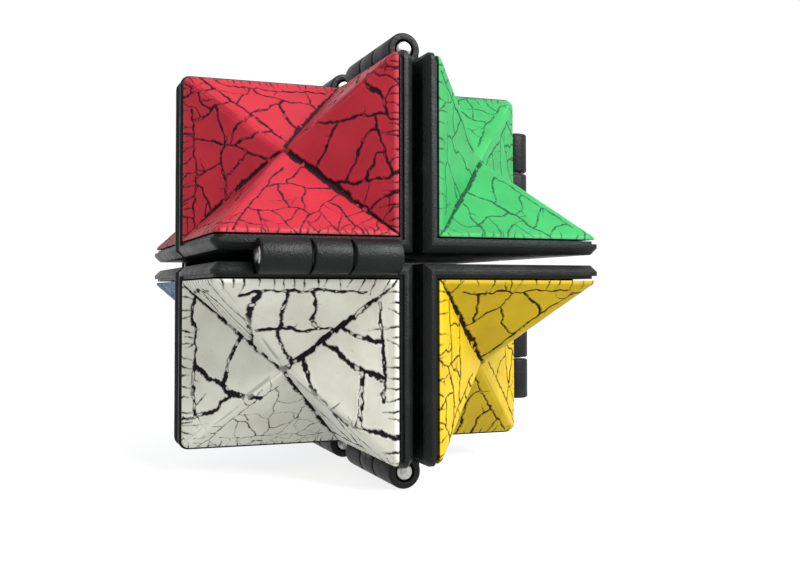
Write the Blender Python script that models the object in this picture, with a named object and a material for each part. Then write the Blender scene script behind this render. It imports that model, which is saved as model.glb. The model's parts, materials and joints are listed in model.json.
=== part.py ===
"""Folding star cube: eight crackle-finished star units in one closed ring of eight hinges.

Closed, it is the three-way star (a stellated rhombic dodecahedron). Every unit fills one octant.
A unit is a black frame of three square plates that meet at the centre, and a coloured faceted
shell of three joined pyramids that seats on them. Steel pins join the frames at their outer edges.

Lengths are millimetres until an object is placed; Blender's own units are metres. +Z is up, -Y is
the front. The origin is the middle of the closed star's bounding box.
"""
from math import radians

import bmesh
import bpy
from mathutils import Matrix, Vector

# Driving dimensions, mm
HINGE_REACH = 35.0        # centre planes to the hinge axes, so the folded cube is 70 across the axes
PLATE_GAP = 1.8           # between the facing plates of two closed neighbours
PLATE_THICKNESS = 1.8
PLATE_SETBACK = 1.6       # hinge axis to a plate's outer edge
PLATE_CORNER_RADIUS = 1.6
PLATE_CHAMFER = 1.1       # on the gap side of a plate's outer edges
STEP_HEIGHT = 0.5         # raised step on the plate, under the shell
STEP_SETBACK = 0.6        # plate edge to the step's edge
SEAM = 0.3                # open seam between step and shell
SHELL_SETBACK = 0.4       # plate edge to the shell's rim
SHELL_RIM = 0.5           # height of the upright rim below the facets
SHELL_WALL = 1.6
RIDGE_CUT = 0.85          # how far in from its sharp corner a ridge is flattened
LIP_HEIGHT = 0.9          # wall on the step that the shell slips over
LIP_THICKNESS = 1.2
FIT_GAP = 0.3             # between pieces that touch
PIN_RADIUS = 1.4
PIN_PROUD = 0.1           # pin end past the barrel's end
PIN_CHAMFER = 0.25
KNUCKLE_RADIUS = 2.8
KNUCKLE_GAP = 0.4         # between the knuckles of one barrel
KNUCKLE_CHAMFER = 0.25
TONGUE_INSET = 0.3        # tongue's sides in from its knuckle's ends
TONGUE_STEP = 0.1         # tongue's two faces in from the plate's face and the knuckle's skin
BARREL_START = 4.4        # hinge barrel's inner end, from the centre planes
OUTER_KNUCKLE = 7.8
MIDDLE_KNUCKLE = 6.0
ROUND_SIDES = 28
CORNER_SEGMENTS = 4

MM = 0.001
OVERRUN = 1.0             # how far a cutter runs past what it cuts
WELD = 0.0001             # vertices closer than this are one
HUGE = 2 * HINGE_REACH
SHARP_ANGLE = radians(34)

# Sizes that follow
PLATE_FACE = PLATE_GAP / 2
PLATE_BACK = PLATE_FACE + PLATE_THICKNESS
PLATE_REACH = HINGE_REACH - PLATE_SETBACK
STEP_TOP = PLATE_BACK + STEP_HEIGHT
STEP_REACH = PLATE_REACH - STEP_SETBACK
SHELL_BASE = STEP_TOP + SEAM
SHELL_REACH = PLATE_REACH - SHELL_SETBACK
FACET_SUM = SHELL_REACH + SHELL_BASE + SHELL_RIM
SKIN_SLANT = SHELL_WALL * 2 ** 0.5     # the wall measured along a centre plane
LIP_REACH = FACET_SUM - SKIN_SLANT - (STEP_TOP + LIP_HEIGHT) - 2 * FIT_GAP
KNUCKLE_REACH = HINGE_REACH + KNUCKLE_RADIUS
SHIFT = Vector(((PLATE_REACH - KNUCKLE_REACH) / 2, 0, 0))

X, Y, Z = range(3)
# A unit's name gives its octant. Its two hinges are named by the direction that their axes run.
UNITS = {
    "front_left_top": ((-1, -1, 1), (X, Y), (0.86, 0.05, 0.09)),
    "front_right_top": ((1, -1, 1), (Y, Z), (0.03, 0.62, 0.18)),
    "back_right_top": ((1, 1, 1), (Y, Z), (0.95, 0.32, 0.03)),
    "back_left_top": ((-1, 1, 1), (X, Y), (0.55, 0.06, 0.09)),
    "front_left_bottom": ((-1, -1, -1), (X, Y), (0.80, 0.80, 0.76)),
    "front_right_bottom": ((1, -1, -1), (Y, Z), (0.88, 0.66, 0.02)),
    "back_right_bottom": ((1, 1, -1), (Y, Z), (0.28, 0.10, 0.50)),
    "back_left_bottom": ((-1, 1, -1), (X, Y), (0.04, 0.28, 0.62)),
}
# The side of the centre planes whose unit holds a hinge's outer knuckles and its pin: the top one
# for hinges along X, the right one along Y, the back one along Z.
PIN_SIDE = {X: (Z, 1), Y: (X, 1), Z: (Y, 1)}
# The joint that turns each unit, by the hinge's direction; the first unit is the root.
TURNS_ON = {
    "front_right_top": Y, "back_right_top": Z, "back_left_top": Y, "front_left_bottom": X,
    "front_right_bottom": Y, "back_right_bottom": Z, "back_left_bottom": Y,
}
OPEN_PIVOT_UNIT = "back_left_top"   # its hinge along X carries two stub pins


def hinge_frame(along):
    """The directions that the hinge runs along, lies out on, and sits at zero on."""
    return along, (along + 1) % 3, (along + 2) % 3


def knuckle_spans(outer):
    """Start and end of each outer or middle knuckle along its hinge."""
    first_end = BARREL_START + OUTER_KNUCKLE
    middle_start = first_end + KNUCKLE_GAP
    middle_end = middle_start + MIDDLE_KNUCKLE
    last_start = middle_end + KNUCKLE_GAP
    if outer:
        return [(BARREL_START, first_end), (last_start, last_start + OUTER_KNUCKLE)]
    return [(middle_start, middle_end)]


BARREL_END = knuckle_spans(True)[1][1]


def box(name, low, high):
    """A closed box between two corners, in octant coordinates."""
    mesh = bpy.data.meshes.new(name)
    shape = bmesh.new()
    bmesh.ops.create_cube(shape, size=1)
    size = Vector(high) - Vector(low)
    middle = (Vector(high) + Vector(low)) / 2
    bmesh.ops.transform(shape, matrix=Matrix.Translation(middle) @ Matrix.Diagonal(size.to_4d()),
                        verts=shape.verts)
    shape.to_mesh(mesh)
    shape.free()
    piece = bpy.data.objects.new(name, mesh)
    bpy.context.collection.objects.link(piece)
    return piece


def cube(name, low, high):
    return box(name, (low,) * 3, (high,) * 3)


def rod(name, along, start, end, radius, chamfer=0.0):
    """A closed cylinder on the axis of the hinge that runs along the given direction."""
    mesh = bpy.data.meshes.new(name)
    shape = bmesh.new()
    bmesh.ops.create_cone(shape, cap_ends=True, segments=ROUND_SIDES, radius1=radius,
                          radius2=radius, depth=end - start)
    if chamfer:
        rims = [edge for edge in shape.edges if near(*(v.co.z for v in edge.verts))]
        bmesh.ops.bevel(shape, geom=rims, offset=chamfer, segments=1, affect="EDGES")
    _, out, _ = hinge_frame(along)
    turn = {X: Matrix.Rotation(radians(90), 4, "Y"), Y: Matrix.Rotation(radians(90), 4, "X"),
            Z: Matrix.Identity(4)}[along]
    place = Vector((0, 0, 0))
    place[along] = (start + end) / 2
    place[out] = HINGE_REACH
    bmesh.ops.transform(shape, matrix=Matrix.Translation(place) @ turn, verts=shape.verts)
    shape.to_mesh(mesh)
    shape.free()
    piece = bpy.data.objects.new(name, mesh)
    bpy.context.collection.objects.link(piece)
    return piece


def combine(piece, other, operation):
    """Boolean one piece with another and use the other up."""
    modifier = piece.modifiers.new(operation, "BOOLEAN")
    modifier.object = other
    modifier.operation = operation
    modifier.solver = "EXACT"
    view = bpy.context.evaluated_depsgraph_get()
    mesh = bpy.data.meshes.new_from_object(piece.evaluated_get(view))
    piece.modifiers.clear()
    used = [piece.data, other.data]
    piece.data = mesh
    bpy.data.objects.remove(other, do_unlink=True)
    for old in used:
        bpy.data.meshes.remove(old)


def bevel_edges(piece, chosen, offset, segments):
    """Bevel the edges that the chosen test picks."""
    shape = bmesh.new()
    shape.from_mesh(piece.data)
    bmesh.ops.remove_doubles(shape, verts=shape.verts, dist=WELD)
    shape.normal_update()
    edges = [edge for edge in shape.edges if chosen(edge)]
    bmesh.ops.bevel(shape, geom=edges, offset=offset, segments=segments, affect="EDGES",
                    profile=0.5, clamp_overlap=True)
    shape.to_mesh(piece.data)
    shape.free()


def near(value, target):
    return abs(value - target) < 10 * WELD


def is_far_corner(reach):
    """A test for an upright edge at the corner of a plate farthest from the centre."""
    def test(edge):
        return sum(all(near(v.co[i], reach) for v in edge.verts) for i in range(3)) == 2
    return test


def is_gap_edge(edge):
    """Whether an edge parts a plate's gap face, square to an axis, from one of its outer sides."""
    lows = sorted(min(face.normal) for face in edge.link_faces)
    return near(lows[0], -1) and near(lows[1], 0)


def three_plates(name, face, back, reach):
    """Three square plates in one, between two distances from the centre planes."""
    piece = cube(name, face, reach)
    combine(piece, cube("hollow", back, HUGE), "DIFFERENCE")
    return piece


def plates():
    """The plates that meet at the centre, with the raised step that each shell seats over."""
    piece = three_plates("plates", PLATE_FACE, PLATE_BACK, PLATE_REACH)
    bevel_edges(piece, is_far_corner(PLATE_REACH), PLATE_CORNER_RADIUS, CORNER_SEGMENTS)
    bevel_edges(piece, is_gap_edge, PLATE_CHAMFER, 1)
    step = three_plates("step", PLATE_BACK - PLATE_THICKNESS / 2, STEP_TOP, STEP_REACH)
    bevel_edges(step, is_far_corner(STEP_REACH), PLATE_CORNER_RADIUS, CORNER_SEGMENTS)
    combine(piece, step, "UNION")
    return piece


def lip():
    """The wall near the plates' outer edges that the shell slips over."""
    root = STEP_TOP - STEP_HEIGHT / 2
    piece = cube("lip", root, LIP_REACH)
    combine(piece, cube("inside", root - OVERRUN, LIP_REACH - LIP_THICKNESS), "DIFFERENCE")
    combine(piece, cube("above", STEP_TOP + LIP_HEIGHT, HUGE), "DIFFERENCE")
    return piece


def knuckles(along, outer):
    """Cut the room for the mate's knuckles, add the unit's own on their tongues, bore them."""
    along, out, zero = hinge_frame(along)
    cuts, adds = [], []
    for start, end in knuckle_spans(not outer):
        cuts.append(rod("room", along, start - FIT_GAP, end + FIT_GAP, KNUCKLE_RADIUS + KNUCKLE_GAP))
    for start, end in knuckle_spans(outer):
        low, high = Vector((0, 0, 0)), Vector((0, 0, 0))
        low[along], high[along] = start + TONGUE_INSET, end - TONGUE_INSET
        low[out], high[out] = PLATE_REACH - KNUCKLE_RADIUS, HINGE_REACH
        low[zero], high[zero] = PLATE_FACE + TONGUE_STEP, KNUCKLE_RADIUS - TONGUE_STEP
        adds.append(box("tongue", low, high))
        adds.append(rod("knuckle", along, start, end, KNUCKLE_RADIUS, KNUCKLE_CHAMFER))
    bore = rod("bore", along, BARREL_START - OVERRUN, BARREL_END + OVERRUN, PIN_RADIUS + FIT_GAP)
    return cuts, adds, bore


def frame(name, hinges, signs):
    """One unit's black frame: plates, lip and knuckles as one moulding."""
    piece = plates()
    combine(piece, lip(), "UNION")
    for along in hinges:
        cuts, adds, bore = knuckles(along, holds_pin(signs, along))
        for cutter in cuts:
            combine(piece, cutter, "DIFFERENCE")
        for added in adds:
            combine(piece, added, "UNION")
        combine(piece, bore, "DIFFERENCE")
    piece.name = name
    return piece


def pyramids(name, base, reach, facet_sum):
    """Three square pyramids that share an apex, each with its one free ridge cut flat.

    A facet is where a point's least and greatest coordinates sum to facet_sum.
    """
    rim = facet_sum - reach
    cut = reach - RIDGE_CUT
    saddle_low, saddle_high = (facet_sum - RIDGE_CUT) / 2, (facet_sum + RIDGE_CUT) / 2
    apex = facet_sum / 2 - RIDGE_CUT / 4
    mesh = bpy.data.meshes.new(name)
    shape = bmesh.new()
    corners = {}

    def corner(i, *turned):
        """The vertex with the given coordinates along direction i and the next two."""
        at = tuple(turned[(k - i) % 3] for k in range(3))
        key = tuple(round(value, 4) for value in at)
        if key not in corners:
            corners[key] = shape.verts.new(at)
        return corners[key]

    for i in range(3):
        inner, top = corner(i, base, base, base), corner(i, apex, apex, apex)
        left, right = corner(i, base, reach, base), corner(i, base, base, reach)
        far_left, far_right = corner(i, base, reach, cut), corner(i, base, cut, reach)
        rim_left, rim_right = corner(i, rim, reach, rim), corner(i, rim, rim, reach)
        ridge_left, ridge_right = corner(i, rim, reach, cut), corner(i, rim, cut, reach)
        saddle_left = corner(i, saddle_low, saddle_high, saddle_low)
        saddle_right = corner(i, saddle_low, saddle_low, saddle_high)
        for outline in (
            (inner, right, far_right, far_left, left),
            (left, far_left, ridge_left, rim_left),
            (far_left, far_right, ridge_right, ridge_left),
            (far_right, right, rim_right, ridge_right),
            (rim_left, ridge_left, saddle_left),
            (rim_right, saddle_right, ridge_right),
            (ridge_left, ridge_right, saddle_right, top, saddle_left),
        ):
            shape.faces.new(outline)
    bmesh.ops.recalc_face_normals(shape, faces=shape.faces)
    shape.to_mesh(mesh)
    shape.free()
    piece = bpy.data.objects.new(name, mesh)
    bpy.context.collection.objects.link(piece)
    return piece


def shell(name):
    """One unit's coloured skin: the pyramids, hollowed from the plates' side."""
    piece = pyramids(name, SHELL_BASE, SHELL_REACH, FACET_SUM)
    inside = pyramids("inside", SHELL_BASE - OVERRUN, SHELL_REACH - SHELL_WALL,
                      FACET_SUM - SKIN_SLANT)
    combine(piece, inside, "DIFFERENCE")
    return piece


def holds_pin(signs, along):
    direction, side = PIN_SIDE[along]
    return signs[direction] == side


def material(name, colour, roughness, metallic=0.0):
    finish = bpy.data.materials.new(name)
    finish.use_nodes = True
    shader = finish.node_tree.nodes["Principled BSDF"]
    shader.inputs["Base Color"].default_value = (*colour, 1)
    shader.inputs["Roughness"].default_value = roughness
    shader.inputs["Metallic"].default_value = metallic
    return finish


def hinge_point(signs, along):
    """The point of a hinge's axis beside the centre planes, mm."""
    _, out, _ = hinge_frame(along)
    at = Vector((0, 0, 0))
    at[out] = signs[out] * HINGE_REACH
    return at + SHIFT


def place(piece, signs, origin, finish):
    """Mirror a piece from the all-positive octant into its own and give it origin and finish."""
    mirror = Matrix.Diagonal(Vector(signs).to_4d())
    move = Matrix.Scale(MM, 4) @ Matrix.Translation(SHIFT - origin) @ mirror
    mesh = piece.data
    mesh.transform(move)
    if signs[X] * signs[Y] * signs[Z] < 0:
        mesh.flip_normals()
    mesh.shade_smooth()
    mesh.set_sharp_from_angle(angle=SHARP_ANGLE)
    mesh.materials.clear()
    mesh.materials.append(finish)
    piece.location = origin * MM


def main():
    for old in list(bpy.data.objects):
        bpy.data.objects.remove(old, do_unlink=True)
    black = material("black_plastic", (0.012, 0.012, 0.013), 0.42)
    steel = material("pin_steel", (0.62, 0.61, 0.59), 0.28, 1.0)
    for unit, (signs, hinges, colour) in UNITS.items():
        turns_on = TURNS_ON.get(unit)
        origin = SHIFT.copy() if turns_on is None else hinge_point(signs, turns_on)
        place(frame(f"{unit}_frame", hinges, signs), signs, origin, black)
        place(shell(f"{unit}_shell"), signs, origin, material(f"{unit}_lacquer", colour, 0.4))
        for along in hinges:
            if not holds_pin(signs, along):
                continue
            if unit == OPEN_PIVOT_UNIT and along == X:
                names = (f"{unit}_inner_stub_pin", f"{unit}_outer_stub_pin")
                for name, (start, end) in zip(names, knuckle_spans(True)):
                    piece = rod(name, along, start + FIT_GAP, end - FIT_GAP, PIN_RADIUS,
                                PIN_CHAMFER)
                    place(piece, signs, origin, steel)
                continue
            name = f"{unit}_{'XYZ'[along].lower()}_pin"
            piece = rod(name, along, BARREL_START - PIN_PROUD, BARREL_END + PIN_PROUD,
                        PIN_RADIUS, PIN_CHAMFER)
            place(piece, signs, origin, steel)


main()
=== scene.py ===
"""Looks of the folding star cube: crackle-lacquered shells, moulded black frames and steel pins.

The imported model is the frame. Each shell is modelled again as one fine skin whose cracks are real
grooves, each black frame gets broken edges, and each pin gets domed, ground ends. Lengths are in
millimetres unless a comment says otherwise, and the finished meshes are in metres.
"""
import json
import math

import bpy
import numpy as np
from mathutils import Matrix, Vector


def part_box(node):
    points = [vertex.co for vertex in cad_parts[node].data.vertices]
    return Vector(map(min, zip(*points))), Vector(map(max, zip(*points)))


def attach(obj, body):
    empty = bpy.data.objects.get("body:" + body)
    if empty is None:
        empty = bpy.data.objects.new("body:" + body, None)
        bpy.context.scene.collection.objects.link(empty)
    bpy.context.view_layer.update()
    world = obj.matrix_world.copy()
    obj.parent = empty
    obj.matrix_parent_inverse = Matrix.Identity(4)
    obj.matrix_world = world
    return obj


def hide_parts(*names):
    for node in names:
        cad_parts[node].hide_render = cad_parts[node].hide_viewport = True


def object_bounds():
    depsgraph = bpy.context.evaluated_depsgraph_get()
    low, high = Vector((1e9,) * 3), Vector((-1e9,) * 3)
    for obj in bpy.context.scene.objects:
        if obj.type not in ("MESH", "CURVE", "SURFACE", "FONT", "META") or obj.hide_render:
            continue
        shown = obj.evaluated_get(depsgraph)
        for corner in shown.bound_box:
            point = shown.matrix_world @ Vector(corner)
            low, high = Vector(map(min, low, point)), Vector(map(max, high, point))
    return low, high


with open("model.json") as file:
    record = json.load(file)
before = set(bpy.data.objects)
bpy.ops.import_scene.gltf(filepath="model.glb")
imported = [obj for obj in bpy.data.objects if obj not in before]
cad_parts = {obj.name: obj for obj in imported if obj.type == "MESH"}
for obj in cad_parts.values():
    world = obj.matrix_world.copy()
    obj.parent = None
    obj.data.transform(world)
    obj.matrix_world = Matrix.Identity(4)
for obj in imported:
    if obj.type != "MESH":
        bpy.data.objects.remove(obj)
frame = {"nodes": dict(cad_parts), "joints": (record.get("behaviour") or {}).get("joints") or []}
cad_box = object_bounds()

MM = 0.001

# The view
CAMERA_AZIMUTH = math.radians(-19.1)
CAMERA_ELEVATION = math.radians(-1.75)
CAMERA_DISTANCE = 179.0
CAMERA_LENS = 41.8
CAMERA_SHIFT = (0.0605, -0.0284)

# The studio, in metres and watts
FLOOR_SIZE = 6.0
FLOOR_DROP = 0.0002       # floor below the lowest part of the puzzle
FLOOR_GREY = 0.2
FLOOR_GLOW = 0.82
SKY_STRENGTH = 1.05
KEY_PLACE = (0.35, -0.63, 0.59)
KEY_SIZE = 0.6
KEY_POWER = 22.5

# The shell's shape, as far as its box doesn't give it
RIM_HEIGHT = 0.5
RIDGE_CUT = 0.85          # flat on a ridge, measured in from its sharp corner
CORNER_RADIUS = 1.3       # rounding of the spikes' corners, seen square on to a plate
EDGE_ROUND = 0.22         # how softly facets, ridges and rims run into each other
WALL = 1.2
SIDE_CUTS = (9, 14)       # one side of the hexagonal sheet ends up in (9 + 1) * (14 + 1) parts
SHELL_SMOOTH = math.radians(55)

# The lacquer's relief
GROOVE = 0.03             # least depth of a crack
GROOVE_SLOPE = 0.55       # depth gained for each mm in from the crack's edge
GROOVE_REACH = 0.3        # how far in it goes on getting deeper
CURL = 0.035              # lift of the lacquer beside a full crack
CURL_AT = 0.22            # distance from the crack's edge at which it is highest
CURL_SPREAD = 0.16
FULL_CRACK = 0.2          # half width from which a crack's lips curl fully
SWELL = 0.03              # slow waviness of the lacquer

# Frames and pins
FRAME_EDGE = 0.16
PIN_EDGE = 0.08
DOME = 0.10               # rise of a pin's ground end
DOME_RINGS = 4
RING_WIDTH = 0.25
DOUBLES = 0.000002        # metres
SAME_PLANE = math.radians(0.5)
SHARP_ANGLE = math.radians(35)

# Crack drawing, one unfolded spike at a time
CELL = 0.2                # pitch of the grid that holds the distance to the nearest crack
FINE_CELL = 0.1           # pitch of the grid that the grooves are read from
FINE_REACH = 9            # how many fine cells around a crack's point are filled in
MARGIN = 1.0              # how far both grids run past the spike
STEP = 0.1                # spacing of a crack's points
ROWS = 16                 # grid rows handled at a time
MOST_CRACKS = 140
LONGEST = 30.0            # reach of a full crack to either side of its start
SIGHT = 14                # how far the search for a patch's short way looks
MEANDER = 0.42            # how much a full crack's heading sways, in radians
HAIR_MEANDER = 0.5
TICK_MEANDER = 0.25
TURN_WITHIN = (0.3, 1.6)  # distances at which a crack turns towards the one that it is to meet
TURN_RATE = 0.06          # share of the turn that is made at each step
HAIR_CHANCE = 0.010       # chance of a hairline at each point of a crack
RIM_LINE_OFF = 2.2        # how far in from the rim a crack follows it
RIDGE_LINE_OFF = 2.1
OPENINGS = ((3.4, 1.0), (2.2, 0.8), (0.0, 0.5))     # room in a patch, share of the full width
THINNING = 1.6            # a facet's fineness to this power scales its cracks' width

# Each unit: its octant's signs, its slot, its colours, and how its lacquer has crazed. cell is the
# widest ground left whole, and rim the share of it near a rim. width, hair and valley are half
# widths: of a full crack, of a hairline, and of the crack that fills a valley. rim_line and
# ridge_line are the chances that a facet has a crack along its rim or its ridge, ticks is the
# spacing of the short cracks that cross a rim, and scratch is how strongly ridges are scratched.
# fine names the facets whose pattern is finer, each with its share of the usual size.
# Each unit's pale colour is for rubbed ridges and rims, and is also their painted highlight.
CRACK_BLACK = (0.006, 0.005, 0.005)
COMMON = dict(crack=CRACK_BLACK, cell=7.0, width=0.22, hair=0.09, rim=0.5, rim_line=0.4,
              ridge_line=0.4, ticks=(1.4, 3.0), valley=0.46, scratch=0.30, fine={})
UNITS = {
    "front_left_top": COMMON | dict(
        signs=(-1, -1, 1), slot="red_crackle", paint=(0.275, 0.014, 0.025),
        worn_and_highlight=(0.37, 0.07, 0.08), crack=(0.014, 0.004, 0.006), cell=6.7, width=0.24,
        rim=0.42, ridge_line=0.2, ticks=(1.0, 2.4), valley=0.55, scratch=0.35, fine={5: 0.8}),
    "front_left_bottom": COMMON | dict(
        signs=(-1, -1, -1), slot="white_crackle", paint=(0.475, 0.485, 0.42),
        worn_and_highlight=(0.55, 0.55, 0.50), cell=10.4, width=0.38, hair=0.11, rim_line=0.9, ridge_line=0.2,
        ticks=(1.4, 2.6), scratch=0.40, fine={2: 0.42}),
    "front_right_top": COMMON | dict(
        signs=(1, -1, 1), slot="green_crackle", paint=(0.024, 0.22, 0.062),
        worn_and_highlight=(0.06, 0.26, 0.10), crack=(0.008, 0.045, 0.018), cell=6.5, width=0.15, hair=0.08,
        rim_line=0.3, ridge_line=0.7, ticks=(1.6, 3.4), valley=0.34, scratch=0.25),
    "front_right_bottom": COMMON | dict(
        signs=(1, -1, -1), slot="yellow_crackle", paint=(0.40, 0.28, 0.004),
        worn_and_highlight=(0.42, 0.32, 0.07), crack=(0.018, 0.009, 0.003), cell=7.5, width=0.20,
        rim_line=0.3, ridge_line=0.9, ticks=(1.8, 3.6), valley=0.42, scratch=0.20),
    "back_left_top": COMMON | dict(
        signs=(-1, 1, 1), slot="dark_red_crackle", paint=(0.185, 0.008, 0.014),
        worn_and_highlight=(0.25, 0.06, 0.06)),
    "back_left_bottom": COMMON | dict(
        signs=(-1, 1, -1), slot="blue_crackle", paint=(0.006, 0.088, 0.18),
        worn_and_highlight=(0.03, 0.14, 0.28)),
    "back_right_top": COMMON | dict(
        signs=(1, 1, 1), slot="orange_crackle", paint=(0.42, 0.10, 0.006),
        worn_and_highlight=(0.45, 0.18, 0.06), cell=7.5, width=0.26, hair=0.10, rim_line=0.5),
    "back_right_bottom": COMMON | dict(
        signs=(1, 1, -1), slot="violet_crackle", paint=(0.092, 0.019, 0.20),
        worn_and_highlight=(0.15, 0.08, 0.27), cell=6.5, width=0.20),
}

# The centre planes cross where the top flap's axis lies, and every shell has the same size.
joints = {joint["name"]: joint for joint in frame["joints"]}
CENTRE = Vector((joints["top_flap"]["pos_m"][0], 0, 0))
shell_low, shell_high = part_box("front_left_top_shell")
SHELL_BASE = shell_low.z / MM
SHELL_REACH = shell_high.z / MM
FACET_SUM = SHELL_REACH + SHELL_BASE + RIM_HEIGHT
SIDE = SHELL_REACH - SHELL_BASE


# ---------------------------------------------------------------- small helpers

def deselect_all():
    if bpy.context.mode != "OBJECT":
        bpy.ops.object.mode_set(mode="OBJECT")
    bpy.ops.object.select_all(action="DESELECT")


def activate(piece):
    deselect_all()
    piece.select_set(True)
    bpy.context.view_layer.objects.active = piece


def read_vectors(mesh, key):
    values = np.empty(len(mesh.vertices) * 3, np.float32)
    mesh.vertices.foreach_get(key, values)
    return values.reshape(-1, 3).astype(np.float64)


def write_points(mesh, points):
    mesh.vertices.foreach_set("co", points.astype(np.float32).ravel())
    mesh.update()


def write_attribute(mesh, name, values):
    layer = mesh.attributes.new(name, "FLOAT", "POINT")
    layer.data.foreach_set("value", np.clip(values, 0, 1).astype(np.float32))


def smoothstep(low, high, value):
    t = np.clip((value - low) / (high - low), 0, 1)
    return t * t * (3 - 2 * t)


def value_noise(points, pitch, seed):
    """Smooth noise in -1..1 at the given points, with one random value to each cell of a lattice."""
    points = np.atleast_2d(points) / pitch
    low = np.floor(points).astype(np.int64)
    part = points - low
    part = part * part * (3 - 2 * part)
    total = np.zeros(len(points))
    for corner in np.ndindex(*(2,) * points.shape[1]):
        at = low + corner
        code = np.full(len(points), seed * 1013904223 + 12345, np.int64)
        for column, prime in zip(at.T, (374761393, 668265263, 2147483647)):
            code = (code ^ (column * prime)) * 1274126177 & 0x7FFFFFFF
            code ^= code >> 13
        share = np.prod([p if c else 1 - p for p, c in zip(part.T, corner)], axis=0)
        total += share * ((code % 65536) / 32767.5 - 1)
    return total


# ---------------------------------------------------------------- cracks on one spike

def opening(patch):
    """How wide a crack opens, as a share of the full width, by the room in the patch it splits."""
    return next(share for room, share in OPENINGS if patch > room)


class Spike:
    """The cracks of one spike, which is two facets that share a ridge, unfolded flat.

    u runs along the first facet's rim from the valley to the spike's tip and v up its slope to the
    apex. The second facet is the first one's mirror image in the ridge, and each facet has its own
    fineness.
    """

    def __init__(self, seed, style, fineness):
        self.base = FACET_SUM - 2 * SHELL_BASE
        self.height = self.base / math.sqrt(2)
        self.slant = math.hypot(self.height, self.base / 2)
        self.rim = RIM_HEIGHT * math.sqrt(2)
        self.random = np.random.default_rng(seed)
        self.seed = seed
        self.style = style
        self.fineness = fineness
        self.paths = []
        self.far = self.mirror(0.0, 0.0)
        across = np.arange(-MARGIN, self.far[0] + MARGIN, CELL)
        up = np.arange(-MARGIN, self.far[1] + MARGIN, CELL)
        self.u, self.v = np.meshgrid(across, up, indexing="ij")
        self.open = self.clearance(self.u, self.v)
        self.inside = self.open > 0
        self.craze()

    def past_ridge(self, u, v):
        """How far a point lies past the ridge, seen from the first facet."""
        return (v * self.base / 2 - (self.base - u) * self.height) / self.slant

    def carry_back(self, u, v, beyond):
        """Points moved square to the ridge by twice the given distance, towards the first facet."""
        return u - 2 * beyond * self.height / self.slant, v - beyond * self.base / self.slant

    def mirror(self, u, v):
        return self.carry_back(u, v, self.past_ridge(u, v))

    def fold(self, u, v):
        """Points on the second facet brought back on to the first, and the others as they are."""
        return self.carry_back(u, v, np.maximum(self.past_ridge(u, v), 0))

    def on_half(self, half, u, v):
        """A route drawn on the first facet, laid on the facet that is wanted."""
        return np.column_stack(self.mirror(u, v) if half else (u, v))

    def clearance(self, u, v):
        """Distance to the nearest valley or rim."""
        u, v = self.fold(u, v)
        return np.minimum((u * self.height - v * self.base / 2) / self.slant, v)

    def look(self, u, v):
        """Distance to the nearest crack or side, from the grid."""
        i = min(max(int(round((u + MARGIN) / CELL)), 0), self.open.shape[0] - 1)
        j = min(max(int(round((v + MARGIN) / CELL)), 0), self.open.shape[1] - 1)
        return self.open[i, j]

    def uphill(self, at, reach=0.4):
        """The way from the nearest crack or side, at a point."""
        return (self.look(at[0] + reach, at[1]) - self.look(at[0] - reach, at[1]),
                self.look(at[0], at[1] + reach) - self.look(at[0], at[1] - reach))

    def walk(self, start, heading, reach, meander, meets=True):
        """A crack's route until it meets another crack or a side, square on where it can."""
        at = np.array(start, float)
        phase = self.random.uniform(0, 900)
        steps = int(reach / STEP)
        along = (phase + np.arange(steps) * STEP)[:, None]
        sway = meander * (value_noise(along, 2.6, self.seed)
                          + 0.7 * value_noise(along, 0.9, self.seed + 1)
                          + 0.9 * value_noise(along, 0.35, self.seed + 2))
        route = [at.copy()]
        for k in range(steps):
            near = self.look(*at)
            if meets and TURN_WITHIN[0] < near < TURN_WITHIN[1] and k > 8:
                du, dv = self.uphill(at)
                turn = (math.atan2(-dv, -du) - heading + math.pi) % (2 * math.pi) - math.pi
                if abs(turn) < 1.1:
                    heading += TURN_RATE * turn
            way = heading + sway[k]
            at = at + STEP * np.array((math.cos(way), math.sin(way)))
            route.append(at.copy())
            if self.clearance(*at) < 0.02 or (k > 6 and self.look(*at) < CELL * 0.8):
                break
        return route

    def add(self, route, width):
        """Keep a crack, with a half width that wavers along it."""
        route = np.array(route)
        if len(route) < 4:
            return
        along = np.arange(len(route))[:, None] * STEP
        number = self.seed + 31 * len(self.paths)
        wobble = (1 + 0.30 * value_noise(along, 1.7, number)
                  + 0.28 * value_noise(along, 0.5, number + 7))
        self.paths.append((route, width * wobble))

    def add_main(self, route, width):
        """Keep a crack that the later ones stop at."""
        kept = len(self.paths)
        self.add(route, width)
        if len(self.paths) == kept:
            return
        points = self.paths[-1][0][::2]
        for i in range(0, len(self.u), ROWS):
            rows = slice(i, i + ROWS)
            gap = np.hypot(self.u[rows, :, None] - points[:, 0],
                           self.v[rows, :, None] - points[:, 1])
            self.open[rows] = np.minimum(self.open[rows], gap.min(axis=2))

    def add_thin(self, route, width):
        """Keep a short crack that thins out towards its end and stops nothing."""
        kept = len(self.paths)
        self.add(route, width)
        if len(self.paths) == kept:
            return
        route, widths = self.paths[-1]
        along = np.arange(len(route)) * STEP
        taper = np.clip((along[-1] - along) / (0.6 * along[-1]), 0.45, 1)
        self.paths[-1] = (route, widths * taper)

    def short_way(self, start):
        """The heading whose line through a point is shortest between cracks, give or take."""
        best, found = 1e9, 0.0
        for k in range(12):
            heading = math.pi * (k + self.random.random()) / 12
            length = self.sight(start, heading) + self.sight(start, heading + math.pi)
            length *= self.random.uniform(0.75, 1.25)
            if length < best:
                best, found = length, heading
        return found

    def sight(self, start, way):
        """How far it is from a point to the next crack or side, one way."""
        u, v = start
        gone = 0.0
        while gone < SIGHT:
            room = self.look(u, v)
            if room < 0.25 or self.clearance(u, v) < 0.1:
                break
            hop = max(room * 0.8, 0.2)
            u += hop * math.cos(way)
            v += hop * math.sin(way)
            gone += hop
        return gone

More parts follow.
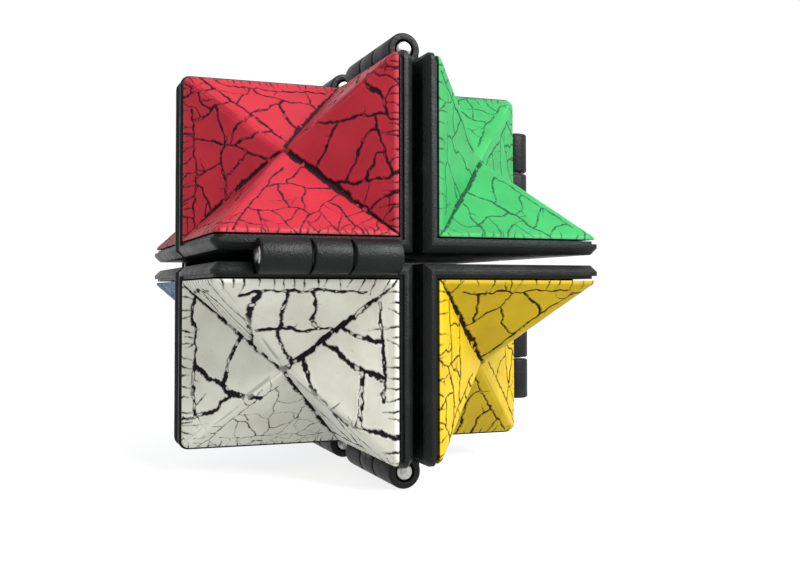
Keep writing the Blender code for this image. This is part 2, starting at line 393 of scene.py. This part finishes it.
    def craze(self):
        """Split the widest ground left, across its short way, until no patch is too wide."""
        style = self.style
        for half in (0, 1):
            width = style["width"] * self.fineness[half] ** THINNING
            self.rim_line(half, width)
            self.ridge_line(half, width)
        second = self.past_ridge(self.u, self.v) > 0
        fine = np.where(second, self.fineness[1], self.fineness[0])
        rise = smoothstep(0, 0.62 * self.height, self.fold(self.u, self.v)[1])
        places = np.column_stack((self.u.ravel(), self.v.ravel()))
        patchy = value_noise(places, 7.0, self.seed + 3).reshape(self.u.shape)
        wanted = (0.5 * style["cell"] * fine * (style["rim"] + (1 - style["rim"]) * rise)
                  * (1 + 0.3 * patchy))
        for _ in range(MOST_CRACKS):
            ratio = np.where(self.inside, self.open / wanted, 0)
            i, j = np.unravel_index(np.argmax(ratio), ratio.shape)
            if ratio[i, j] < 1:
                break
            patch = self.open[i, j]
            start = (self.u[i, j] + self.random.normal() * 0.22 * patch,
                     self.v[i, j] + self.random.normal() * 0.22 * patch)
            heading = self.short_way(start)
            size = style["width"] * fine[i, j] ** THINNING * opening(patch)
            size *= self.random.uniform(0.75, 1.25)
            back = self.walk(start, heading + math.pi, LONGEST, MEANDER)
            self.add_main(back[::-1] + self.walk(start, heading, LONGEST, MEANDER)[1:], size)
        self.hairlines(style["hair"])
        for half in (0, 1):
            self.rim_ticks(half, style["hair"])

    def rim_line(self, half, width):
        """A crack that follows the rim a little way in, for part of its length."""
        if self.random.random() > self.style["rim_line"]:
            return
        start = self.random.uniform(2.4, 5)
        at = np.arange(0, self.random.uniform(15, 21), STEP)
        lift = (self.rim + RIM_LINE_OFF + 0.6 * value_noise(at[:, None], 3.4, self.seed + 41)
                + 0.25 * value_noise(at[:, None], 0.9, self.seed + 42))
        self.add_main(self.on_half(half, start + at, lift), 0.8 * width)

    def ridge_line(self, half, width):
        """A crack that runs down beside the ridge."""
        if self.random.random() > self.style["ridge_line"]:
            return
        down = np.array((self.base / 2, -self.height))
        run = np.hypot(*down)
        down = down / run
        inward = np.array((down[1], -down[0]))
        first, last = self.random.uniform(0.02, 0.2) * run, self.random.uniform(0.7, 0.94) * run
        at = np.arange(first, last, STEP)[:, None]
        off = (RIDGE_LINE_OFF + 0.35 * value_noise(at, 4.0, self.seed + 51)
               + 0.16 * value_noise(at, 0.9, self.seed + 52))
        apex = np.array((self.base / 2, self.height))
        route = apex + at * down + off[:, None] * inward
        self.add_main(self.on_half(half, *route.T), 0.9 * width)

    def hairlines(self, width):
        """Short thin cracks that branch off the main ones here and there."""
        for route, _ in list(self.paths):
            for k in range(10, len(route) - 10):
                if self.random.random() > HAIR_CHANCE:
                    continue
                step = route[k + 3] - route[k - 3]
                side = 1 if self.random.random() < 0.5 else -1
                heading = math.atan2(step[1], step[0]) + side * self.random.uniform(1.0, 1.9)
                reach = self.random.uniform(0.8, 3.6)
                self.add_thin(self.walk(route[k], heading, reach, HAIR_MEANDER, False), width)

    def rim_ticks(self, half, width):
        """Short cracks that cross the rim, more or less square to it."""
        ridge = math.atan2(self.height, -self.base / 2)
        at = self.random.uniform(0.8, 2.0)
        while at < self.base - 0.8:
            heading = math.pi / 2 + self.random.normal() * 0.12
            reach = self.rim + self.random.uniform(0.8, 3.0)
            start = (at, 0.03)
            if half:
                start = self.mirror(*start)
                heading = 2 * ridge - heading
            self.add_thin(self.walk(start, heading, reach, TICK_MEANDER, False), 1.3 * width)
            at += self.random.uniform(*self.style["ticks"])

    def depth(self, u, v):
        """At the given points: signed distance to the nearest crack's edge, and its half width."""
        shape = tuple(int((side + 2 * MARGIN) / FINE_CELL) + 1 for side in self.far)
        field = np.stack((np.full(shape, 1.0), np.zeros(shape)))
        offsets = np.arange(-FINE_REACH, FINE_REACH + 1)
        for route, widths in self.paths:
            cells = np.round((route + MARGIN) / FINE_CELL).astype(int)
            for (a, b), (x, y), w in zip(cells, route, widths):
                if not (FINE_REACH <= a < shape[0] - FINE_REACH
                        and FINE_REACH <= b < shape[1] - FINE_REACH):
                    continue
                du = (a + offsets) * FINE_CELL - MARGIN - x
                dv = (b + offsets) * FINE_CELL - MARGIN - y
                window = field[:, a + offsets[0]:a + offsets[-1] + 1,
                               b + offsets[0]:b + offsets[-1] + 1]
                edge = np.hypot(du[:, None], dv[None, :]) - w
                closer = edge < window[0]
                window[0][closer] = edge[closer]
                window[1][closer] = w
        x = np.clip((u + MARGIN) / FINE_CELL, 0, shape[0] - 1.001)
        y = np.clip((v + MARGIN) / FINE_CELL, 0, shape[1] - 1.001)
        i, j = x.astype(int), y.astype(int)
        fx, fy = x - i, y - j
        return ((1 - fx) * (1 - fy) * field[:, i, j] + fx * (1 - fy) * field[:, i + 1, j]
                + (1 - fx) * fy * field[:, i, j + 1] + fx * fy * field[:, i + 1, j + 1])


# ---------------------------------------------------------------- shells

def soft_min(a, b, width):
    """The lesser of two values, with the crease between them rounded over the given width."""
    mix = np.clip(0.5 + 0.5 * (b - a) / width, 0, 1)
    return b * (1 - mix) + a * mix - width * mix * (1 - mix)


def corner_wall(middle, most):
    """How far along the diagonal a point is from the outer walls, whose far corner is rounded."""
    start = SHELL_REACH - CORNER_RADIUS
    spread = np.minimum(most - middle, CORNER_RADIUS)
    arc = (2 * start - most - middle + np.sqrt(2 * CORNER_RADIUS ** 2 - spread ** 2)) / 2
    return np.where(most - middle < CORNER_RADIUS, arc, SHELL_REACH - most)


def round_corners(flat):
    """Draw the hexagon in at its spike corners, so that its edge follows the rounded corners."""
    order = np.sort(flat, axis=1)
    drop, gap = -order[:, 0], order[:, 2] - order[:, 1]
    share = np.maximum(drop + order[:, 2], 1e-9) / SIDE
    drop, gap = drop / np.maximum(share, 1e-9), gap / np.maximum(share, 1e-9)
    start = SIDE - CORNER_RADIUS
    a = 9 * drop ** 2 + gap ** 2
    b = 12 * drop * start
    c = 4 * start ** 2 - 2 * CORNER_RADIUS ** 2
    edge = (b + np.sqrt(np.maximum(b * b - 4 * a * c, 0))) / (2 * a)
    edge = np.where(edge * gap < CORNER_RADIUS, np.minimum(edge, 1), 1)
    return flat * (1 - (1 - edge) * share ** 12)[:, None]


def raise_sheet(flat):
    """Carry points of the flat hexagon along the unit's diagonal on to the star's surface."""
    order = np.sort(flat, axis=1)
    least, middle, most = order.T
    facet = (FACET_SUM - least - most) / 2
    ridge = (2 * FACET_SUM - RIDGE_CUT - 2 * least - middle - most) / 4
    wall = corner_wall(middle, most)
    lift = soft_min(soft_min(facet, ridge, EDGE_ROUND), wall, EDGE_ROUND)
    base = SHELL_BASE - least
    return flat + np.maximum(lift, base)[:, None]


def hexagon():
    """A flat hexagon across the diagonal, in fine triangles whose rows follow its six spokes."""
    deselect_all()
    radius = math.sqrt(6) * SIDE / 3
    bpy.ops.mesh.primitive_circle_add(vertices=6, radius=radius, fill_type="TRIFAN")
    sheet = bpy.context.object
    bpy.ops.object.mode_set(mode="EDIT")
    bpy.ops.mesh.select_all(action="SELECT")
    for cuts in SIDE_CUTS:
        bpy.ops.mesh.subdivide(number_cuts=cuts)
    bpy.ops.object.mode_set(mode="OBJECT")
    return sheet


def turn_to_diagonal(points):
    """From the hexagon's own plane to the plane across (1, 1, 1), a corner towards +Z's spike."""
    up = np.array((-1, -1, 2)) / math.sqrt(6)
    right = np.array((1, -1, 0)) / math.sqrt(2)
    return points[:, :1] * right + points[:, 1:2] * up


def selected(mesh):
    return np.array([vertex.select for vertex in mesh.vertices])


def close_back(sheet):
    """Turn the skin's edge in by the wall and close it with a hollow back."""
    mesh = sheet.data
    bpy.ops.object.mode_set(mode="EDIT")
    bpy.ops.mesh.select_all(action="DESELECT")
    bpy.ops.mesh.select_mode(type="EDGE")
    bpy.ops.mesh.select_non_manifold()
    bpy.ops.mesh.extrude_region_move()
    bpy.ops.object.mode_set(mode="OBJECT")
    points = read_vectors(mesh, "co")
    chosen = selected(mesh)
    ring = points[chosen]
    ring[ring > SHELL_REACH - EDGE_ROUND] = SHELL_REACH - WALL
    points[chosen] = np.maximum(ring, SHELL_BASE)
    write_points(mesh, points)
    bpy.ops.object.mode_set(mode="EDIT")
    bpy.ops.mesh.extrude_region_move()
    bpy.ops.mesh.merge(type="CENTER")
    bpy.ops.object.mode_set(mode="OBJECT")
    points = read_vectors(mesh, "co")
    points[selected(mesh)] = FACET_SUM / 2 - 2 * WALL
    write_points(mesh, points)


def facet_places(points):
    """For each point: its facet's number, and u and v on that facet."""
    least = points.argmin(axis=1)
    most = points.argmax(axis=1)
    rows = np.arange(len(points))
    middle = np.where(least == most, 0, 3 - least - most)
    number = least * 2 + ((most - least) % 3 - 1)
    u = points[rows, middle] - SHELL_BASE
    v = math.sqrt(2) * (points[rows, least] - SHELL_BASE)
    return number, u, v


def drawn_cracks(points, number, u, v, style, seed):
    """Distance to the nearest drawn crack's edge, and that crack's half width."""
    edge, half = np.full(len(points), 1.0), np.zeros(len(points))
    for k in range(3):
        pair = (2 * k, 2 * k + 1)
        spike = Spike(seed * 10 + k, style, [style["fine"].get(facet, 1.0) for facet in pair])
        second = number == pair[1]
        u[second], v[second] = spike.mirror(u[second], v[second])
        here = number // 2 == k
        edge[here], half[here] = spike.depth(u[here], v[here])
    return edge, half


def crackle(points, style, seed):
    """Over a skin: crack share, share of pale wear and painted highlight, and the nearest crack's
    edge distance and half width.
    """
    number, u, v = facet_places(points)
    edge, half = drawn_cracks(points, number, u, v, style, seed)
    rough = value_noise(points, 0.45, seed) + 0.7 * value_noise(points, 0.25, seed + 5)
    edge = edge + 0.3 * half * rough
    order = np.sort(points, axis=1)
    above_rim = order[:, 0] - SHELL_BASE - RIM_HEIGHT
    side = np.where(number % 2 == 0, 1.0, -1.0)

    # The crack that fills a valley wanders a little from side to side.
    wander = 0.20 * value_noise(points, 3.0, seed + 7) + 0.14 * value_noise(points, 0.9, seed + 8)
    valley = np.abs(side * (order[:, 1] - order[:, 0]) / math.sqrt(2) - wander)
    width = style["valley"] * (1 + 0.30 * value_noise(points, 2.3, seed + 9)
                               + 0.30 * value_noise(points, 0.7, seed + 11))
    valley_edge = valley - width * (0.35 + 0.65 * smoothstep(0, 6, above_rim)) + 0.10 * rough
    half = np.where(valley_edge < edge, width, half)
    edge = np.minimum(edge, valley_edge)

    # Flakes of lacquer are left standing in wide cracks.
    flake = value_noise(points, 1.1, seed + 13) + 0.6 * value_noise(points, 0.5, seed + 14)
    island = smoothstep(0.38, 0.55, flake) * smoothstep(0.10, 0.18, -edge)

    # Ridges are rubbed: long streaks, dark where scratched, pale where worn and where a highlight is
    # painted.
    off_ridge = (order[:, 2] - order[:, 1]) / math.sqrt(2)
    on_ridge = 1 - smoothstep(0.35, 0.8, off_ridge)
    along = np.column_stack((side * off_ridge / 0.28, order[:, 0] / 5))
    streak = value_noise(along, 1.0, seed + 15)
    scratch = smoothstep(0.35, 0.6, streak) * on_ridge
    crack = (1 - smoothstep(-0.05, 0.06, edge)) * (1 - 0.9 * island) * (1 - 0.35 * on_ridge)
    crack = np.maximum(crack, style["scratch"] * scratch)
    rim = 1 - smoothstep(0.05, 0.4, above_rim)
    patchy = 0.5 + 0.5 * value_noise(points, 2.0, seed + 17)
    # Pale ridges and a pale rim band: wear, and a painted highlight on these rounded edges.
    wear_and_highlight = np.maximum(0.7 * on_ridge * smoothstep(0.1, 0.6, -streak), 0.4 * rim * patchy)
    return crack, wear_and_highlight, edge, half


def relief(points, crack, edge, half, seed):
    """How far the skin moves along its normals: lips and swell outwards, grooves inwards."""
    above_base = smoothstep(0.05, 0.5, points.min(axis=1) - SHELL_BASE)
    lips = np.exp(-((edge - CURL_AT) / CURL_SPREAD) ** 2)
    curl = CURL * np.clip(half / FULL_CRACK, 0.2, 1) * lips
    swell = SWELL * value_noise(points, 3.1, seed + 23)
    depth = GROOVE + GROOVE_SLOPE * np.clip(-edge, 0, GROOVE_REACH)
    return (curl + swell - SWELL - depth * crack) * above_base


def shell(unit, style, seed):
    """One unit's lacquered skin, grooved where the lacquer has crazed."""
    sheet = hexagon()
    mesh = sheet.data
    points = raise_sheet(round_corners(turn_to_diagonal(read_vectors(mesh, "co"))))
    crack, wear_and_highlight, edge, half = crackle(points, style, seed)
    write_points(mesh, points)
    normals = read_vectors(mesh, "normal")
    normals *= np.sign(normals.sum(axis=1))[:, None]
    write_points(mesh, points + normals * relief(points, crack, edge, half, seed)[:, None])
    write_attribute(mesh, "crack", crack)
    write_attribute(mesh, "wear_and_highlight", wear_and_highlight)
    close_back(sheet)
    mirror = Matrix.Diagonal(Vector(style["signs"]).to_4d())
    mesh.transform(Matrix.Translation(CENTRE) @ Matrix.Scale(MM, 4) @ mirror)
    activate(sheet)
    bpy.ops.object.mode_set(mode="EDIT")
    bpy.ops.mesh.select_all(action="SELECT")
    bpy.ops.mesh.normals_make_consistent(inside=False)
    bpy.ops.object.mode_set(mode="OBJECT")
    bpy.ops.object.shade_smooth_by_angle(angle=SHELL_SMOOTH)
    sheet.name = f"{unit}_crackle_shell"
    sheet.location = (0, 0, 0)
    return sheet


# ---------------------------------------------------------------- materials

MIX_A, MIX_B, MIX_RESULT = 6, 7, 2      # the Mix node's colour sockets


def new_material(name):
    finish = bpy.data.materials.new(name)
    finish.use_nodes = True
    tree = finish.node_tree
    return finish, tree, tree.nodes["Principled BSDF"]


def new_group(name, colours):
    """A node group that takes the named colours and gives colour, roughness and height."""
    group = bpy.data.node_groups.new(name, "ShaderNodeTree")
    face = group.interface
    for colour in colours:
        face.new_socket(colour, in_out="INPUT", socket_type="NodeSocketColor")
    face.new_socket("Color", in_out="OUTPUT", socket_type="NodeSocketColor")
    face.new_socket("Roughness", in_out="OUTPUT", socket_type="NodeSocketFloat")
    face.new_socket("Height", in_out="OUTPUT", socket_type="NodeSocketFloat")
    return group, group.nodes.new("NodeGroupInput"), group.nodes.new("NodeGroupOutput")


def add_noise(tree, scale, detail):
    """Noise on the piece's own coordinates, with the scale in waves to the metre."""
    place = tree.nodes.new("ShaderNodeTexCoord")
    node = tree.nodes.new("ShaderNodeTexNoise")
    node.inputs["Scale"].default_value = scale
    node.inputs["Detail"].default_value = detail
    tree.links.new(place.outputs["Object"], node.inputs["Vector"])
    return node.outputs["Fac"]


def add_attribute(tree, name):
    node = tree.nodes.new("ShaderNodeAttribute")
    node.attribute_name = name
    return node.outputs["Fac"]


def add_remap(tree, value, low, high, to_low, to_high):
    node = tree.nodes.new("ShaderNodeMapRange")
    for key, number in (("From Min", low), ("From Max", high),
                        ("To Min", to_low), ("To Max", to_high)):
        node.inputs[key].default_value = number
    tree.links.new(value, node.inputs["Value"])
    return node.outputs["Result"]


def add_mix(tree, kind, share, a, b):
    """Two colours mixed; each of them is a socket or a plain colour."""
    node = tree.nodes.new("ShaderNodeMix")
    node.data_type = "RGBA"
    node.blend_type = kind
    tree.links.new(share, node.inputs["Factor"])
    for index, value in ((MIX_A, a), (MIX_B, b)):
        if isinstance(value, tuple):
            node.inputs[index].default_value = value
        else:
            tree.links.new(value, node.inputs[index])
    return node.outputs[MIX_RESULT]


def add_bump(tree, shader, height, strength, distance):
    bump = tree.nodes.new("ShaderNodeBump")
    bump.inputs["Strength"].default_value = strength
    bump.inputs["Distance"].default_value = distance
    tree.links.new(height, bump.inputs["Height"])
    tree.links.new(bump.outputs["Normal"], shader.inputs["Normal"])


def place_group(tree, shader, group, colours):
    """Put a group in a material with its own colours, and wire its colour and roughness."""
    node = tree.nodes.new("ShaderNodeGroup")
    node.node_tree = group
    for name, colour in colours.items():
        node.inputs[name].default_value = (*colour, 1)
    tree.links.new(node.outputs["Color"], shader.inputs["Base Color"])
    tree.links.new(node.outputs["Roughness"], shader.inputs["Roughness"])
    return node.outputs["Height"]


def crackle_group():
    """Paint, pale wear with painted highlight, and crack colour mixed by the skin's attributes, with
    fine mottling.
    """
    group, take, give = new_group("crackle_lacquer", ("Paint", "Worn_and_highlight", "Crack"))
    crack, wear_and_highlight = add_attribute(group, "crack"), add_attribute(group, "wear_and_highlight")
    paint, worn_and_highlight, dark = (take.outputs[name] for name in ("Paint", "Worn_and_highlight", "Crack"))
    cloud = add_remap(group, add_noise(group, 170, 3), 0.35, 0.68, 0.0, 1.0)
    speck = add_remap(group, add_noise(group, 1500, 2), 0.66, 0.78, 0.0, 0.28)
    shade = add_mix(group, "MULTIPLY", cloud, paint, (0.86, 0.84, 0.84, 1))
    # Pale where worn, which also paints the highlight on ridges and rims.
    shade = add_mix(group, "MIX", add_remap(group, wear_and_highlight, 0, 1, 0, 0.75), shade, worn_and_highlight)
    shade = add_mix(group, "MIX", speck, shade, dark)
    group.links.new(add_mix(group, "MIX", crack, shade, dark), give.inputs["Color"])
    rough = group.nodes.new("ShaderNodeMath")
    rough.operation = "ADD"
    smooth = add_remap(group, add_noise(group, 420, 3), 0.3, 0.7, 0.36, 0.50)
    group.links.new(smooth, rough.inputs[0])
    group.links.new(add_remap(group, crack, 0, 1, 0, 0.3), rough.inputs[1])
    group.links.new(rough.outputs[0], give.inputs["Roughness"])
    group.links.new(add_noise(group, 1900, 4), give.inputs["Height"])
    return group


def crackle_lacquer(style, group):
    finish, tree, shader = new_material(style["slot"])
    colours = {"Paint": style["paint"], "Worn_and_highlight": style["worn_and_highlight"], "Crack": style["crack"]}
    height = place_group(tree, shader, group, colours)
    add_bump(tree, shader, height, strength=0.12, distance=0.00004)
    shader.inputs["Specular IOR Level"].default_value = 0.08
    return finish


def grain_group():
    """Moulded plastic's fine grain, with a few dusty scuffs."""
    group, take, give = new_group("moulded_grain", ("Base", "Scuffed"))
    scuff = add_remap(group, add_noise(group, 260, 6), 0.55, 0.8, 0.0, 0.6)
    colour = add_mix(group, "MIX", scuff, take.outputs["Base"], take.outputs["Scuffed"])
    group.links.new(colour, give.inputs["Color"])
    rough = add_remap(group, add_noise(group, 340, 5), 0.3, 0.7, 0.38, 0.55)
    group.links.new(rough, give.inputs["Roughness"])
    grain = add_remap(group, add_noise(group, 2600, 4), 0.3, 0.7, 0.0, 1.0)
    group.links.new(grain, give.inputs["Height"])
    return group


def black_plastic(group):
    finish, tree, shader = new_material("black_moulded_plastic")
    colours = {"Base": (0.0030, 0.0034, 0.0036), "Scuffed": (0.012, 0.013, 0.0135)}
    height = place_group(tree, shader, group, colours)
    add_bump(tree, shader, height, strength=0.8, distance=0.00005)
    shader.inputs["Specular IOR Level"].default_value = 0.16
    return finish


def pin_steel():
    """Ground steel, a little tarnished in patches."""
    finish, tree, shader = new_material("ground_pin_steel")
    marks = add_noise(tree, 1800, 4)
    tree.links.new(add_remap(tree, marks, 0, 1, 0.22, 0.45), shader.inputs["Roughness"])
    add_bump(tree, shader, marks, strength=0.3, distance=0.00003)
    tarnish = add_remap(tree, add_noise(tree, 1100, 5), 0.38, 0.62, 0.0, 1.0)
    tone = add_mix(tree, "MIX", tarnish, (0.20, 0.20, 0.195, 1), (0.44, 0.44, 0.43, 1))
    tree.links.new(tone, shader.inputs["Base Color"])
    shader.inputs["Metallic"].default_value = 1.0
    return finish


# ---------------------------------------------------------------- frames and pins

def broken_edges(node, name, width):
    """A copy of a CAD node with its doubles merged and its sharp edges broken."""
    copy = bpy.data.objects.new(name, frame["nodes"][node].data.copy())
    bpy.context.scene.collection.objects.link(copy)
    activate(copy)
    bpy.ops.object.mode_set(mode="EDIT")
    bpy.ops.mesh.select_all(action="SELECT")
    bpy.ops.mesh.remove_doubles(threshold=DOUBLES)
    bpy.ops.mesh.dissolve_limited(angle_limit=SAME_PLANE)
    bpy.ops.object.mode_set(mode="OBJECT")
    bevel = copy.modifiers.new("broken edges", "BEVEL")
    bevel.width = width * MM
    bevel.segments = 2
    bevel.limit_method = "ANGLE"
    bevel.angle_limit = SHARP_ANGLE
    bevel.use_clamp_overlap = True
    bpy.ops.object.modifier_apply(modifier=bevel.name)
    bpy.ops.object.shade_smooth_by_angle(angle=SHARP_ANGLE)
    return copy


def domed_pin(node):
    """A copy of a CAD pin whose two ends are ground to a low dome."""
    pin = broken_edges(node, f"{node}_turned", PIN_EDGE)
    low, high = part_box(node)
    along = max(range(3), key=lambda i: high[i] - low[i])
    middle = (low + high) / 2
    reach = (high[along] - low[along]) / 2
    mesh = pin.data
    ends = [abs(face.normal[along]) > 0.999
            and abs(face.center[along] - middle[along]) > 0.99 * reach for face in mesh.polygons]
    mesh.polygons.foreach_set("select", ends)
    activate(pin)
    bpy.ops.object.mode_set(mode="EDIT")
    bpy.ops.mesh.select_mode(type="FACE")
    for _ in range(DOME_RINGS):
        bpy.ops.mesh.inset(thickness=RING_WIDTH * MM)
    bpy.ops.object.mode_set(mode="OBJECT")
    points = read_vectors(mesh, "co")
    off = points - np.array(middle)
    end = off[:, along].copy()
    off[:, along] = 0
    radius = np.linalg.norm(off, axis=1)
    on_end = np.abs(end) > 0.999 * reach
    rim = radius[on_end].max()
    rise = DOME * MM * (1 - (radius[on_end] / rim) ** 2)
    points[on_end, along] += np.sign(end[on_end]) * rise
    write_points(mesh, points)
    bpy.ops.object.shade_smooth_by_angle(angle=SHARP_ANGLE)
    return pin


# ---------------------------------------------------------------- build

def unit_of(node):
    return next(unit for unit in UNITS if node.startswith(unit))


def stand_in(piece, node, finish):
    """Give a piece its finish, and let it stand for a CAD node on that node's body."""
    piece.data.materials.clear()
    piece.data.materials.append(finish)
    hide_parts(node)
    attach(piece, unit_of(node))


def build():
    lacquer = crackle_group()
    black = black_plastic(grain_group())
    steel = pin_steel()
    for seed, (unit, style) in enumerate(UNITS.items()):
        skin = shell(unit, style, seed + 1)
        stand_in(skin, f"{unit}_shell", crackle_lacquer(style, lacquer))
    for name in frame["nodes"]:
        if name.endswith("_frame"):
            moulding = broken_edges(name, f"{name}_moulding", FRAME_EDGE)
            stand_in(moulding, name, black)
        elif name.endswith("_pin"):
            stand_in(domed_pin(name), name, steel)


def add_camera():
    away = Vector((math.sin(CAMERA_AZIMUTH) * math.cos(CAMERA_ELEVATION),
                   -math.cos(CAMERA_AZIMUTH) * math.cos(CAMERA_ELEVATION),
                   math.sin(CAMERA_ELEVATION)))
    camera = bpy.data.objects.new("camera", bpy.data.cameras.new("camera"))
    camera.data.lens = CAMERA_LENS
    camera.data.shift_x, camera.data.shift_y = CAMERA_SHIFT
    camera.data.clip_start = 0.005
    camera.location = CENTRE + away * CAMERA_DISTANCE * MM
    camera.rotation_euler = away.to_track_quat("Z", "Y").to_euler()
    bpy.context.scene.collection.objects.link(camera)
    bpy.context.scene.camera = camera


def add_floor():
    deselect_all()
    below = cad_box[0][2] - FLOOR_DROP
    bpy.ops.mesh.primitive_plane_add(size=FLOOR_SIZE, location=(0, 0, below))
    floor = bpy.context.object
    floor.name = "floor"
    finish, _, shader = new_material("pale_floor")
    shader.inputs["Base Color"].default_value = (FLOOR_GREY, FLOOR_GREY, FLOOR_GREY, 1)
    shader.inputs["Roughness"].default_value = 1.0
    shader.inputs["Specular IOR Level"].default_value = 0.0
    shader.inputs["Emission Color"].default_value = (1, 1, 1, 1)
    shader.inputs["Emission Strength"].default_value = FLOOR_GLOW
    floor.data.materials.append(finish)


def add_light():
    world = bpy.data.worlds.new("studio")
    world.use_nodes = True
    sky = world.node_tree.nodes["Background"]
    sky.inputs["Color"].default_value = (1, 1, 1, 1)
    sky.inputs["Strength"].default_value = SKY_STRENGTH
    bpy.context.scene.world = world
    lamp = bpy.data.lights.new("key", "AREA")
    lamp.size = KEY_SIZE
    lamp.energy = KEY_POWER
    holder = bpy.data.objects.new("key", lamp)
    holder.location = KEY_PLACE
    holder.rotation_euler = (Vector(KEY_PLACE) - CENTRE).to_track_quat("Z", "Y").to_euler()
    bpy.context.scene.collection.objects.link(holder)
    bpy.context.scene.view_settings.view_transform = "Standard"


add_camera()
add_floor()
add_light()
build()
